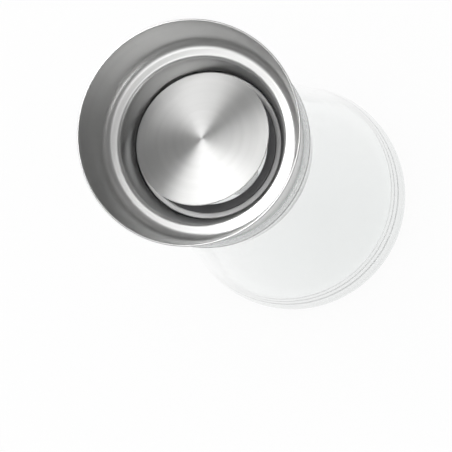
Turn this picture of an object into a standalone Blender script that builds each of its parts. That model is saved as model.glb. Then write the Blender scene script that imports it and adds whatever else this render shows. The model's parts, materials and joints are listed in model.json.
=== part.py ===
"""A clear glass carafe with a spun steel pouring collar and a lid that tips open by its own weight.

Metres, +Z up. The origin is the middle of the face that the glass stands on. The lid tips about a pin
on the -X side of the throat, so its +X side lifts.
"""

from math import atan2, cos, hypot, pi, radians, sin, sqrt

import bpy
from mathutils import Matrix

MM = 0.001

# Fits and facets
FIT = 0.3 * MM              # between pieces that touch or run in each other
STACK_FIT = 0.2 * MM        # between the layers of the lid and its seat
TURN = 36                   # facets round a large turned piece
TURN_SMALL = 24             # facets round a small one

# Whole carafe
HEIGHT = 242 * MM
COLLAR_H = 31.1 * MM        # from the rim down to the foot of the collar, over the glass
STEEL = 0.8 * MM            # sheet of the collar and of the throat tube

# Glass body
LIP_FLARE = 1.8 * MM        # how far the lip stands out past the waist
LIP_ROUND = 2.4 * MM
LIP_ROUND_IN = 1.4 * MM
WAIST_DROP = 17.5 * MM      # from the lip down to the slimmest place
BODY_R = 53 * MM
BODY_POWER = 1.4            # 1 is a plain cone, more keeps the body slim for longer
WALL = 3.2 * MM
FLOOR = 11 * MM             # glass under the drink
HEEL_R = 13 * MM            # rounding from the side to the face it stands on
HEEL_IN_R = 15 * MM
HEEL_START = 8              # degrees above level, where the side runs into the rounding
STANDING_R = 29 * MM        # inner edge of the flat ring it stands on
PUNT = 1.6 * MM             # rise of the middle of the bottom

# Throat tube
THROAT_R = 27.6 * MM
THROAT_DEPTH = 33.2 * MM    # from the rim down to the edge of the throat
SHOULDER_ROUND = 1.4 * MM   # rounding of the shoulder at its top
SHOULDER_REACH = 4 * MM     # from the throat's wall out to the middle of that rounding
SHOULDER_FLAT = 1.5 * MM    # level part of the shoulder, outside that rounding
BOWL = 0.6 * MM             # how far the wall between throat and shoulder bulges outwards
TUBE_LENGTH = 28 * MM       # below the land
CURL = 2.2 * MM             # outward curl that keeps the sleeve on the tube

# Pouring collar
RIM_REACH = 12.4 * MM       # from the throat's wall out to the edge of the rim
RIM_ROUND = 0.4 * MM
RIM_LEAN = 10               # degrees that the two sides lean out at the rim
STEP_DEPTH = 22.6 * MM      # from the rim down to the shoulder of the throat tube
COVE_H = 3.6 * MM           # height of the hollow that runs from the shoulder up into the wall
COVE_SEAM = 40              # degrees of that hollow that belong to the tube, the rest is the collar's
LEDGE_W = 3 * MM            # carries the shoulder
FOOT_INSET = 2 * MM         # from the edge of the glass lip in to the edge of the foot
SIDE_POWER = 1.3            # 1 is a plain cone, more makes the side spread towards the rim

# Neck sleeve
SLEEVE_WALL = 1.9 * MM
FLANGE_T = 1.0 * MM
FLANGE_INSET = 1.6 * MM     # from the edge of the glass lip to the edge of the flange
LIPS = 4
LIP_T = 1.3 * MM            # thickness of a lip at its root
LIP_TOP_GAP = 3 * MM        # from the flange down to the first lip
LIP_REACH = 2.1 * MM        # from the sleeve's wall out to the edge of a lip

# Carrier
LAND_DROP = 2.3 * MM        # from the edge of the throat down to the land
RING_EDGE = 0.5 * MM        # bevel of its outer edge, which shows as a dark line
LAND_W = 1.9 * MM           # from the edge of the ring in to the recess that holds the seal
SEAT_W = 3.6 * MM           # width of that recess
LAND_T = 5.4 * MM
TUBE_REST = 6 * MM          # tube left over under the carrier
SKIRT_WALL = 3 * MM
O_RING_T = 1.2 * MM
O_RING_DROP = 11 * MM
SNAP_T = 1.2 * MM
SNAP_W = 2.2 * MM
SNAP_GAP = 8 * MM

# Lid
LID_INSET = 1.9 * MM        # from the edge of the ring to the edge of the plate
LID_PLATE = 0.8 * MM
LID_EASE = 0.25 * MM        # rounding of the plate's upper edge
LID_OPEN = radians(13.3)    # how far the lid stands open
CORE_FLANGE = 1.0 * MM
CORE_INSET = 1.0 * MM       # from the edge of the plate to the edge of the core's flange
SEAL_T = 0.8 * MM
PLUG_GAP = 1.6 * MM         # between the plug and the bore of the ring
PLUG_DEPTH = 3.5 * MM
PLUG_EASE = 0.8 * MM
BOSS_R = 5 * MM
BOSS_DEPTH = 9 * MM
BOSS_FLARE = 3 * MM         # cone between the plug's underside and the boss

# Hinge
PIN_R = 0.8 * MM
PIN_END = 2.5 * MM          # from the side of the ring in to the end of the pin
PIN_INSET = 0.4 * MM        # from the edge of the plate in to the pin
PIN_DROP = 2.4 * MM         # from the land down to the pin
KNUCKLE_R = 1.7 * MM
KNUCKLE_W = 8 * MM
WEB_T = 1.6 * MM            # joins the knuckle to the core's flange

# Pendulum
STEM_R = 2 * MM
WEIGHT_DROP = 42 * MM       # from the land down to the bottom of the weight
WEIGHT_R = 8.5 * MM
WEIGHT_H = 13 * MM
WEIGHT_EASE = 2 * MM
SHOULDER_R = 3.4 * MM       # on the stem, above the weight
SHOULDER_T = 1.2 * MM
NUT_R = 4 * MM
NUT_H = 3 * MM              # straight side of the domed nut
NUT_ROOF = 2.5 * MM         # material under the end of the stem

# Heights and radii that follow
THROAT_Z = HEIGHT - THROAT_DEPTH
STEP_Z = HEIGHT - STEP_DEPTH
LAND_Z = THROAT_Z - LAND_DROP
TUBE_END_Z = LAND_Z - TUBE_LENGTH
FOOT_Z = HEIGHT - COLLAR_H
FLANGE_LOW_Z = FOOT_Z - STACK_FIT - FLANGE_T
GLASS_TOP = FLANGE_LOW_Z - STACK_FIT
WAIST_Z = GLASS_TOP - WAIST_DROP
RIM_R = THROAT_R + RIM_REACH
SHOULDER_MID_R = THROAT_R + SHOULDER_REACH
SHOULDER_MID_Z = STEP_Z - SHOULDER_ROUND
BOWL_SPREAD = SHOULDER_REACH - SHOULDER_ROUND
BOWL_H = SHOULDER_MID_Z - THROAT_Z
SLEEVE_R = THROAT_R + STEEL + FIT
NECK_BORE_R = SLEEVE_R + SLEEVE_WALL + LIP_REACH + FIT
WAIST_R = NECK_BORE_R + WALL
LIP_R = WAIST_R + LIP_FLARE
FOOT_R = LIP_R - FOOT_INSET
CARRIER_R = THROAT_R - FIT
SEAT_R = CARRIER_R - LAND_W
BORE_R = SEAT_R - SEAT_W
LID_R = CARRIER_R - LID_INSET
PLUG_R = BORE_R - PLUG_GAP
SEAT_DEPTH = SEAL_T + STACK_FIT
CARRIER_H = TUBE_LENGTH - TUBE_REST
PIN_X = LID_R - PIN_INSET
PIN_LENGTH = 2 * (sqrt(CARRIER_R**2 - PIN_X**2) - PIN_END)
WEB_IN_R = PIN_X - WEB_T
PLATE_UNDER = STACK_FIT + CORE_FLANGE + STACK_FIT
BORE_FIT_R = STEM_R + FIT


def clear_scene():
    for obj in list(bpy.data.objects):
        bpy.data.objects.remove(obj, do_unlink=True)


def collection(name, hidden=False):
    made = bpy.data.collections.new(name)
    bpy.context.scene.collection.children.link(made)
    made.hide_render = hidden
    return made


def material(name, colour, roughness, metallic=0.0, transmission=0.0):
    made = bpy.data.materials.new(name)
    made.use_nodes = True
    shader = made.node_tree.nodes["Principled BSDF"]
    shader.inputs["Base Color"].default_value = (*colour, 1.0)
    shader.inputs["Roughness"].default_value = roughness
    shader.inputs["Metallic"].default_value = metallic
    shader.inputs["Transmission Weight"].default_value = transmission
    made.diffuse_color = (*colour, 1.0)
    return made


def arc(centre_r, centre_z, radius, start, end, count):
    """Points of an arc in the (r, z) plane, angles in degrees from +r towards +z."""
    steps = [radians(start + (end - start) * i / (count - 1)) for i in range(count)]
    return [(centre_r + radius * cos(a), centre_z + radius * sin(a)) for a in steps]


def curve(radius_at, start, end, count):
    """Points (radius_at(z), z) at even steps of z."""
    heights = [start + (end - start) * i / (count - 1) for i in range(count)]
    return [(radius_at(z), z) for z in heights]


def offset(points, distance):
    """The same open line moved sideways, to the left of its own direction."""
    moved = []
    for i, (r, z) in enumerate(points):
        before = points[max(i - 1, 0)]
        after = points[min(i + 1, len(points) - 1)]
        way = atan2(after[1] - before[1], after[0] - before[0])
        moved.append((r - distance * sin(way), z + distance * cos(way)))
    return moved


def turned(name, outline, look, group, facets=TURN):
    """A turned piece. Its outline runs down the outer side and up the inner one, or from axis to axis."""
    count = len(outline)
    edges = [(i, i + 1) for i in range(count - 1)]
    if outline[0][0] > 0:
        edges.append((count - 1, 0))
    mesh = bpy.data.meshes.new(name)
    mesh.from_pydata([(r, 0, z) for r, z in outline], edges, [])
    mesh.materials.append(look)
    obj = bpy.data.objects.new(name, mesh)
    group.objects.link(obj)
    screw = obj.modifiers.new("turn", "SCREW")
    screw.axis = "Z"
    screw.steps = facets
    screw.render_steps = facets
    screw.use_smooth_shade = True
    screw.use_merge_vertices = True
    screw.merge_threshold = 0.00001
    return obj


def move_to(obj, name, group):
    """Names an object that an operator made and puts it in a collection."""
    obj.name = name
    obj.data.name = name
    for owner in list(obj.users_collection):
        owner.objects.unlink(obj)
    group.objects.link(obj)
    return obj


def rod(name, radius, length, group, facets=TURN_SMALL):
    """A round rod along Y, centred on its object's origin."""
    bpy.ops.mesh.primitive_cylinder_add(vertices=facets, radius=radius, depth=length)
    obj = move_to(bpy.context.object, name, group)
    obj.data.transform(Matrix.Rotation(pi / 2, 4, "X"))
    return obj


def block(name, low, high, group):
    """A box between two corners."""
    bpy.ops.mesh.primitive_cube_add(size=1)
    obj = move_to(bpy.context.object, name, group)
    for vertex in obj.data.vertices:
        vertex.co = [high[i] if vertex.co[i] > 0 else low[i] for i in range(3)]
    return obj


def combine(obj, tool, operation):
    """Joins a helper to a piece or cuts it away, and hides the helper."""
    tool.hide_render = True
    tool.display_type = "WIRE"
    modifier = obj.modifiers.new(tool.name, "BOOLEAN")
    modifier.operation = operation
    modifier.solver = "EXACT"
    modifier.object = tool


# Glass


def body_radius(z):
    """Outer radius of the glass between the waist and the heel."""
    along = (WAIST_Z - z) / (WAIST_Z - HEEL_R)
    return WAIST_R + (BODY_R - WAIST_R) * along**BODY_POWER


def neck_radius(z):
    """Outer radius of the glass between the lip and the waist."""
    along = (z - WAIST_Z) / (GLASS_TOP - LIP_ROUND - WAIST_Z)
    return WAIST_R + (LIP_R - WAIST_R) * (1 - cos(pi * along)) / 2


def glass_body(look, parts):
    lip_z = GLASS_TOP - LIP_ROUND
    inner_lip_z = GLASS_TOP - LIP_ROUND_IN
    heel_top = 2 * HEEL_R
    floor_r = body_radius(FLOOR + HEEL_IN_R) - WALL - HEEL_IN_R
    outline = arc(NECK_BORE_R + LIP_ROUND_IN, inner_lip_z, LIP_ROUND_IN, 180, 90, 3)
    outline += arc(LIP_R - LIP_ROUND, lip_z, LIP_ROUND, 90, 0, 4)
    outline += curve(neck_radius, lip_z, WAIST_Z, 6)[1:-1]
    outline += curve(body_radius, WAIST_Z, heel_top, 10)
    outline += arc(BODY_R - HEEL_R, HEEL_R, HEEL_R, HEEL_START, -90, 6)
    outline += [(STANDING_R, 0), (STANDING_R - 2 * PUNT, PUNT * 0.8), (0, PUNT)]
    outline += [(0, FLOOR)] + arc(floor_r, FLOOR + HEEL_IN_R, HEEL_IN_R, -90, 0, 6)
    outline += [(r - WALL, z) for r, z in curve(body_radius, heel_top + HEEL_IN_R, WAIST_Z, 9)]
    return turned("glass_body", outline, look, parts, TURN)


# Collar


def side_radius(z):
    """Outer radius of the collar between its foot and the rim."""
    along = (z - FOOT_Z) / (HEIGHT - FOOT_Z)
    return FOOT_R + (RIM_R - FOOT_R) * along**SIDE_POWER


def skin_radius(z):
    """Inner radius of the collar's sheet."""
    return side_radius(z) - STEEL


def cove(start, end, count):
    """The hollow between shoulder and wall, from 0 degrees, level on the shoulder, to 90, up along the wall."""
    reach = skin_radius(STEP_Z) - SHOULDER_MID_R - SHOULDER_FLAT
    points = []
    for i in range(count):
        turn = radians(start + (end - start) * i / (count - 1))
        z = STEP_Z + COVE_H * (1 - cos(turn))
        points.append((skin_radius(z) - reach * (1 - sin(turn)), z))
    return points


def bowl(count):
    """The hollow wall between the shoulder's rounding and the edge of the throat, from the top down."""
    length = hypot(BOWL_SPREAD, BOWL_H)
    points = []
    for i in range(count):
        along = 1 - i / (count - 1)
        bulge = 4 * BOWL * along * (1 - along)
        points.append((
            THROAT_R + BOWL_SPREAD * along + bulge * BOWL_H / length,
            THROAT_Z + BOWL_H * along - bulge * BOWL_SPREAD / length,
        ))
    return points


def clear_of_tube(z):
    """Radius that clears the outer side of the throat tube, above the edge of the throat."""
    return SLEEVE_R + BOWL + (z - THROAT_Z) * BOWL_SPREAD / BOWL_H


def pouring_collar(look, parts):
    """Rounded rim, one flared sheet with a bead that holds the tube's shoulder down on a ledge, and the foot."""
    ledge_z = STEP_Z - STEEL - FIT
    ledge_in_r = skin_radius(ledge_z) - LEDGE_W
    seam = cove(COVE_SEAM, 90, 4)
    seam_r, seam_z = seam[0]
    outline = arc(RIM_R - RIM_ROUND, HEIGHT - RIM_ROUND, RIM_ROUND, 180 - RIM_LEAN, -RIM_LEAN, 6)
    outline += curve(side_radius, HEIGHT - 4 * RIM_ROUND, FOOT_Z + STEEL, 7)
    foot_in_r = clear_of_tube(FOOT_Z + STEEL)
    outline += [(FOOT_R - STEEL / 2, FOOT_Z), (foot_in_r, FOOT_Z), (foot_in_r, FOOT_Z + STEEL)]
    outline += curve(skin_radius, FOOT_Z + STEEL, ledge_z - STEEL, 3)
    outline += [(ledge_in_r, ledge_z - STEEL), (ledge_in_r, ledge_z), (skin_radius(ledge_z), ledge_z)]
    outline += [(skin_radius(seam_z), seam_z + FIT), (seam_r, seam_z + FIT)] + seam[1:]
    outline += curve(skin_radius, STEP_Z + COVE_H, HEIGHT - 4 * RIM_ROUND, 4)[1:]
    return turned("pouring_collar", outline, look, parts)


def throat_tube(look, parts):
    """A shoulder that rests on the collar's ledge, turned up at its edge, the throat, and the curl at the end."""
    inner = cove(COVE_SEAM, 0, 4)
    inner += arc(SHOULDER_MID_R, SHOULDER_MID_Z, SHOULDER_ROUND, 90, 180, 6)
    inner += bowl(5)[1:] + [(THROAT_R, TUBE_END_Z + CURL)]
    outline = offset(inner, STEEL)
    outline += [(THROAT_R + STEEL / 2 + CURL, TUBE_END_Z + STEEL), (THROAT_R + CURL, TUBE_END_Z)]
    outline += inner[::-1]
    return turned("throat_tube", outline, look, parts)


def seal_sleeve(look, parts):
    """A soft sleeve on the tube: a flange on the glass lip and bendy lips towards the bore of the neck."""
    flange_r = LIP_R - FLANGE_INSET
    body_r = SLEEVE_R + SLEEVE_WALL
    lip_r = NECK_BORE_R - FIT
    foot = TUBE_END_Z + CURL + FIT
    top = FLANGE_LOW_Z + FLANGE_T
    outline = [(flange_r, top), (flange_r, FLANGE_LOW_Z), (body_r, FLANGE_LOW_Z)]
    pitch = (FLANGE_LOW_Z - LIP_TOP_GAP - foot) / LIPS
    for i in range(LIPS):
        root = FLANGE_LOW_Z - LIP_TOP_GAP - i * pitch
        outline += [(body_r, root), (lip_r, root - LIP_T / 4), (lip_r, root - LIP_T / 2), (body_r, root - LIP_T)]
    outline += [(body_r, foot), (SLEEVE_R, foot), (SLEEVE_R, THROAT_Z), (clear_of_tube(top), top)]
    return turned("seal_sleeve", outline, look, parts)


# Carrier and hinge


def hinge_pocket(cutters):
    """Room for the knuckle, cut down from the land and out through the ring's side."""
    half = KNUCKLE_W / 2 + FIT
    floor = LAND_Z - PIN_DROP - KNUCKLE_R - FIT
    low = (-CARRIER_R - LAND_T, -half, floor)
    high = (-WEB_IN_R + FIT, half, LAND_Z + LAND_T)
    return block("hinge_pocket", low, high, cutters)


def lid_carrier(look, parts, cutters, pocket):
    """The ring that the lid closes on: land, seal recess, skirt and O-ring groove."""
    bottom = LAND_Z - CARRIER_H
    skirt_r = CARRIER_R - SKIRT_WALL
    under = LAND_Z - LAND_T
    groove_r = CARRIER_R - O_RING_T - FIT / 2
    groove_half = O_RING_T / 2 + FIT
    groove_z = LAND_Z - O_RING_DROP
    outline = [
        (CARRIER_R - RING_EDGE, LAND_Z),
        (CARRIER_R, LAND_Z - RING_EDGE),
        (CARRIER_R, groove_z + groove_half),
        (groove_r, groove_z + groove_half),
        (groove_r, groove_z - groove_half),
        (CARRIER_R, groove_z - groove_half),
        (CARRIER_R, bottom),
        (skirt_r, bottom),
        (skirt_r, under - (skirt_r - BORE_R)),
        (BORE_R, under),
        (BORE_R, LAND_Z - SEAT_DEPTH),
        (SEAT_R, LAND_Z - SEAT_DEPTH),
        (SEAT_R, LAND_Z),
    ]
    ring = turned("lid_carrier", outline, look, parts)
    drill = rod("pin_drill", PIN_R + FIT, 2 * CARRIER_R, cutters)
    drill.location = (-PIN_X, 0, LAND_Z - PIN_DROP)
    combine(ring, pocket, "DIFFERENCE")
    combine(ring, drill, "DIFFERENCE")
    return ring


def lid_seal(look, parts, pocket):
    """The soft ring in the recess, notched round the knuckle."""
    top = LAND_Z
    low = LAND_Z - SEAL_T
    outer = SEAT_R - FIT
    inner = BORE_R + FIT
    ring = turned("lid_seal", [(outer, top), (outer, low), (inner, low), (inner, top)], look, parts)
    combine(ring, pocket, "DIFFERENCE")
    return ring


def o_ring(look, parts):
    radius = O_RING_T / 2
    outline = arc(CARRIER_R + FIT / 2 - radius, LAND_Z - O_RING_DROP, radius, 90, -225, 8)
    return turned("carrier_o_ring", outline, look, parts)


def snap_ring(look, parts, cutters):
    """An open spring ring in the throat tube, under the carrier."""
    top = LAND_Z - CARRIER_H - STACK_FIT
    low = top - SNAP_T
    inner = CARRIER_R - SNAP_W
    ring = turned("snap_ring", [(CARRIER_R, top), (CARRIER_R, low), (inner, low), (inner, top)], look, parts)
    start = (inner - SNAP_W, -SNAP_GAP / 2, low - SNAP_T)
    end = (CARRIER_R + SNAP_W, SNAP_GAP / 2, top + SNAP_T)
    combine(ring, block("snap_ring_gap", start, end, cutters), "DIFFERENCE")
    return ring


def hinge_pin(look, parts):
    pin = rod("hinge_pin", PIN_R, PIN_LENGTH, parts)
    pin.location = (-PIN_X, 0, LAND_Z - PIN_DROP)
    pin.data.materials.append(look)
    pin.data.shade_smooth()
    pin.data.set_sharp_from_angle(angle=radians(40))
    return pin


# Lid, each piece drawn closed: its middle is on its own Z axis and the land is at height 0


def lid_disc(look, parts):
    top = PLATE_UNDER + LID_PLATE
    edge = arc(LID_R - LID_EASE, top - LID_EASE, LID_EASE, 90, 0, 3)
    outline = [(0, top)] + edge + [(LID_R, PLATE_UNDER), (0, PLATE_UNDER)]
    return turned("lid_disc", outline, look, parts)


def lid_core(look, parts, cutters):
    """The moulded underside of the lid: flange, plug, boss round the stem, and the hinge knuckle."""
    top = STACK_FIT + CORE_FLANGE
    outline = [
        (LID_R - CORE_INSET, top),
        (LID_R - CORE_INSET, STACK_FIT),
        (PLUG_R, STACK_FIT),
        (PLUG_R, PLUG_EASE - PLUG_DEPTH),
        (PLUG_R - PLUG_EASE, -PLUG_DEPTH),
        (BOSS_R + BOSS_FLARE, -PLUG_DEPTH),
        (BOSS_R, -PLUG_DEPTH - BOSS_FLARE),
        (BOSS_R, -BOSS_DEPTH),
        (BORE_FIT_R, -BOSS_DEPTH),
        (BORE_FIT_R, top),
    ]
    core = turned("lid_core", outline, look, parts)
    barrel = rod("knuckle_barrel", KNUCKLE_R, KNUCKLE_W, cutters)
    drill = rod("knuckle_drill", PIN_R + FIT, 2 * KNUCKLE_W, cutters)
    for tool in (barrel, drill):
        tool.location = (-PIN_X, 0, -PIN_DROP)
    start = (-PIN_X, -KNUCKLE_W / 2, -PIN_DROP)
    end = (-WEB_IN_R, KNUCKLE_W / 2, STACK_FIT + CORE_FLANGE / 2)
    web = block("knuckle_web", start, end, cutters)
    combine(core, web, "UNION")
    combine(core, barrel, "UNION")
    combine(core, drill, "DIFFERENCE")
    return [core, web, barrel, drill]


def lid_stem(look, parts):
    """The rod of the pendulum, fixed under the plate, with the shoulder that the weight is drawn up to."""
    shoulder = WEIGHT_H - WEIGHT_DROP + STACK_FIT
    end = NUT_ROOF - WEIGHT_DROP - STACK_FIT - NUT_H - NUT_R + FIT
    outline = [
        (0, PLATE_UNDER - STACK_FIT),
        (STEM_R, PLATE_UNDER - STACK_FIT),
        (STEM_R, shoulder + SHOULDER_T),
        (SHOULDER_R, shoulder + SHOULDER_T),
        (SHOULDER_R, shoulder),
        (STEM_R, shoulder),
        (STEM_R, end),
        (0, end),
    ]
    return turned("lid_stem", outline, look, parts, TURN_SMALL)


def counterweight(look, parts):
    top = WEIGHT_H - WEIGHT_DROP
    low = -WEIGHT_DROP
    outline = arc(WEIGHT_R - WEIGHT_EASE, top - WEIGHT_EASE, WEIGHT_EASE, 90, 0, 4)
    outline += arc(WEIGHT_R - WEIGHT_EASE, low + WEIGHT_EASE, WEIGHT_EASE, 0, -90, 4)
    outline += [(BORE_FIT_R, low), (BORE_FIT_R, top)]
    return turned("counterweight", outline, look, parts, TURN_SMALL)


def weight_nut(look, parts):
    """A domed nut, closed at the bottom."""
    top = -WEIGHT_DROP - STACK_FIT
    low = top - NUT_H
    outline = [(NUT_R, top)] + arc(0, low, NUT_R, 0, -90, 5)[:-1] + [(0, low - NUT_R)]
    outline += [(0, low - NUT_R + NUT_ROOF), (BORE_FIT_R, low - NUT_R + NUT_ROOF), (BORE_FIT_R, top)]
    return turned("weight_nut", outline, look, parts, TURN_SMALL)


def tipping_lid(looks, parts, cutters):
    """Every piece of the lid hangs on one empty, which lies on the pin and holds the lid open."""
    hinge = bpy.data.objects.new("lid_hinge", None)
    parts.objects.link(hinge)
    hinge.location = (-PIN_X, 0, LAND_Z - PIN_DROP)
    hinge.rotation_euler = (0, -LID_OPEN, 0)
    pieces = lid_core(looks["plastic"], parts, cutters)
    pieces += [
        lid_disc(looks["disc"], parts),
        lid_stem(looks["steel"], parts),
        counterweight(looks["steel"], parts),
        weight_nut(looks["steel"], parts),
    ]
    for piece in pieces:
        piece.parent = hinge
        piece.location.x += PIN_X
        piece.location.z += PIN_DROP


def main():
    clear_scene()
    parts = collection("glass_carafe")
    cutters = collection("cutters", hidden=True)
    looks = {
        "glass": material("clear_glass", (0.93, 0.97, 0.96), 0.02, transmission=1.0),
        "satin": material("satin_steel", (0.62, 0.62, 0.61), 0.28, metallic=1.0),
        "disc": material("spun_steel", (0.66, 0.66, 0.65), 0.3, metallic=1.0),
        "steel": material("plain_steel", (0.55, 0.55, 0.55), 0.22, metallic=1.0),
        "silicone": material("grey_silicone", (0.1, 0.1, 0.105), 0.6),
        "clear": material("milky_silicone", (0.82, 0.84, 0.83), 0.45),
        "plastic": material("grey_plastic", (0.16, 0.16, 0.165), 0.4),
    }
    glass_body(looks["glass"], parts)
    pouring_collar(looks["satin"], parts)
    throat_tube(looks["satin"], parts)
    seal_sleeve(looks["clear"], parts)
    pocket = hinge_pocket(cutters)
    lid_carrier(looks["satin"], parts, cutters, pocket)
    lid_seal(looks["silicone"], parts, pocket)
    o_ring(looks["silicone"], parts)
    snap_ring(looks["steel"], parts, cutters)
    hinge_pin(looks["steel"], parts)
    tipping_lid(looks, parts, cutters)


main()
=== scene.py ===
"""Looks of a clear glass carafe with a spun steel pouring collar and a tipping lid.

Metres, +Z up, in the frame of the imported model. Every piece is turned again here at a finer step and
takes the place of its plain solid.
"""

import json
from math import atan2, cos, hypot, pi, radians, sin, tau

import bpy
from bpy.props import FloatProperty, FloatVectorProperty, PointerProperty
from bpy.types import Operator, Panel, PropertyGroup
from mathutils import Euler, Matrix, Vector


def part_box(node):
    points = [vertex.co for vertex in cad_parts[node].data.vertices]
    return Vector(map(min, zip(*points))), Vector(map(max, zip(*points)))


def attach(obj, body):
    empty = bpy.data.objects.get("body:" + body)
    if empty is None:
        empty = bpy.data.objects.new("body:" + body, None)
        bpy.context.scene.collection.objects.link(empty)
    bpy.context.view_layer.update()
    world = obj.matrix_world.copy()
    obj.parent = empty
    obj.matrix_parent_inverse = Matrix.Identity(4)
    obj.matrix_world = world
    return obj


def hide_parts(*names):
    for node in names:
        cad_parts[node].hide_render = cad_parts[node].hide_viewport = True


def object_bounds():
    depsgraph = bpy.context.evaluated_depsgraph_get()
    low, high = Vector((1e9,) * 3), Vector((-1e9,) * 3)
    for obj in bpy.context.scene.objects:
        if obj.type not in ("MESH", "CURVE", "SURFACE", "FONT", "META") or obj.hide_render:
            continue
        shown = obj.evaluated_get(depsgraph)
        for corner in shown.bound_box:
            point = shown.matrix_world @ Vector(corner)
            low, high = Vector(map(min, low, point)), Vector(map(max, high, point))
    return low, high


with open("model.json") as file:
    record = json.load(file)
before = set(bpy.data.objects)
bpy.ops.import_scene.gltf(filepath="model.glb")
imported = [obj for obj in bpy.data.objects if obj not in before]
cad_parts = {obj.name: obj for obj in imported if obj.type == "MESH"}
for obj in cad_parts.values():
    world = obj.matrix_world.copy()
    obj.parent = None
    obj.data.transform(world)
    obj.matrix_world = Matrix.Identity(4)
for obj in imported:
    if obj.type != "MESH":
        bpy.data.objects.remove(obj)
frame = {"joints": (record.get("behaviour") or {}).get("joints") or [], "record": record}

bl_info = {
    "name": "Glass carafe with tipping lid",
    "version": (1, 0, 0),
    "blender": (4, 5, 0),
    "location": "3D View > Sidebar > Carafe",
    "description": "Builds the pieces, finishes and studio of a glass carafe with a steel pouring collar",
    "category": "Add Mesh",
}

MM = 0.001
CAD_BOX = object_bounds()
LID_TILT = next(joint for joint in frame["joints"] if joint["name"] == "lid_tilt")
HINGE = Vector(LID_TILT["pos_m"])
LID_OPEN = radians(-LID_TILT["range_deg"][0])

FINE = 144                  # facets round a large turned piece
FINE_SMALL = 64             # facets round a small one
MERGE = 0.002 * MM          # closes the seam and the poles of a turned piece
SHARP = radians(28)         # edges that turn more than this stay sharp
SEAM_TURN = 40              # where in the hollow's turn the collar and the throat tube meet, in degrees

SEAL = 0.8 * MM             # height of the lid's seal
O_RING_R = 0.6 * MM         # radius of the small ring's round section
O_RING_DROP = 11 * MM       # from the land down to the middle of the small ring
PLATE = 0.8 * MM            # thickness of the lid's plate
FLANGE = 1.0 * MM           # thickness of the core's flange under the plate
KNUCKLE_R = 1.7 * MM        # the core's knuckle round the hinge pin
KNUCKLE_HALF = 4 * MM       # half its width
NUT_R = 4 * MM              # radius of the nut and of its dome
NUT_H = 3 * MM              # straight part of the nut, above the dome
NUT_DOME = 2.5 * MM         # steel under the end of the nut's bore


def length(name, description, default):
    return FloatProperty(name=name, description=description, default=default, min=0, unit="LENGTH",
                         precision=5)


def colour(name, description, default):
    return FloatVectorProperty(name=name, description=description, default=default, size=3,
                               subtype="COLOR", min=0, max=1)


class CarafeSizes(PropertyGroup):
    """Driving sizes of the visible pieces"""

    height: length("Height", "From the table to the rim", CAD_BOX[1].z)
    fit: length("Fit", "Gap between pieces that touch", 0.3 * MM)
    stack_fit: length("Stack fit", "Gap between the layers of the lid and its seat", 0.2 * MM)
    steel: length("Sheet", "Thickness of the collar's and the tube's steel", 0.8 * MM)
    rim_r: length("Rim radius", "Outer radius of the collar's rim", 40 * MM)
    rim_round: length("Rim rounding", "Rounding of the rim's edge", 0.4 * MM)
    collar_h: length("Collar height", "From the rim down to the collar's foot", 31.1 * MM)
    foot_r: length("Collar foot", "Outer radius of the collar at its foot", 36 * MM)
    step_depth: length("Step depth", "From the rim down to the shoulder of the throat tube", 22.6 * MM)
    cove_h: length("Hollow", "Height of the hollow that runs from the shoulder up into the wall", 3.6 * MM)
    seam: length("Seam", "Joint between the collar and the throat tube, pressed tight", 0.02 * MM)
    shoulder_r: length("Shoulder radius", "Middle of the shoulder's rounding", 31.6 * MM)
    shoulder_round: length("Shoulder rounding", "Rounding of the shoulder", 1.4 * MM)
    shoulder_flat: length("Shoulder flat", "Level part of the shoulder, outside its rounding", 1.5 * MM)
    bowl: length("Bowl", "How far the wall between throat and shoulder bulges outwards", 0.6 * MM)
    throat_r: length("Throat radius", "Inner radius of the throat tube", 27.6 * MM)
    throat_depth: length("Throat depth", "From the rim down to the edge of the throat", 33.2 * MM)
    tube_length: length("Tube length", "Throat tube below the land", 28 * MM)
    curl: length("Curl", "Outward curl at the end of the tube", 2.2 * MM)
    glass_top: length("Glass height", "Top of the glass lip", 209.5 * MM)
    lip_r: length("Lip radius", "Outer radius of the glass lip", 38 * MM)
    waist_r: length("Waist radius", "Outer radius of the glass under the lip", 36.2 * MM)
    waist_z: length("Waist height", "Height of the slimmest place", 192 * MM)
    body_r: length("Body radius", "Widest outer radius of the glass", 53 * MM)
    wall: length("Glass wall", "Thickness of the glass side", 3.2 * MM)
    floor: length("Glass floor", "Thickness of the glass bottom", 11 * MM)
    heel_r: length("Heel radius", "Rounding from the side to the bottom", 13 * MM)
    heel_in_r: length("Inner heel radius", "Rounding inside, from the side to the floor", 15 * MM)
    standing_r: length("Standing ring", "Inner radius of the flat ring underneath", 29 * MM)
    punt: length("Punt", "Rise of the middle of the bottom", 1.6 * MM)
    ring_r: length("Ring radius", "Outer radius of the ring that the lid closes on", 27.3 * MM)
    seat_r: length("Seat radius", "Outer radius of the seal's recess", 25.4 * MM)
    bore_r: length("Bore radius", "Bore of the ring", 21.8 * MM)
    lid_r: length("Lid radius", "Radius of the steel plate", 25.4 * MM)
    plug_r: length("Plug radius", "Radius of the lid's plug", 20.2 * MM)
    pin_r: length("Pin radius", "Radius of the hinge pin", 0.8 * MM)
    stem_r: length("Stem radius", "Radius of the stem that carries the weight", 2 * MM)
    weight_r: length("Weight radius", "Radius of the counterweight", 8.5 * MM)
    weight_h: length("Weight height", "Height of the counterweight", 13 * MM)
    weight_drop: length("Weight drop", "From the land down to the bottom of the weight", 42 * MM)


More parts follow.
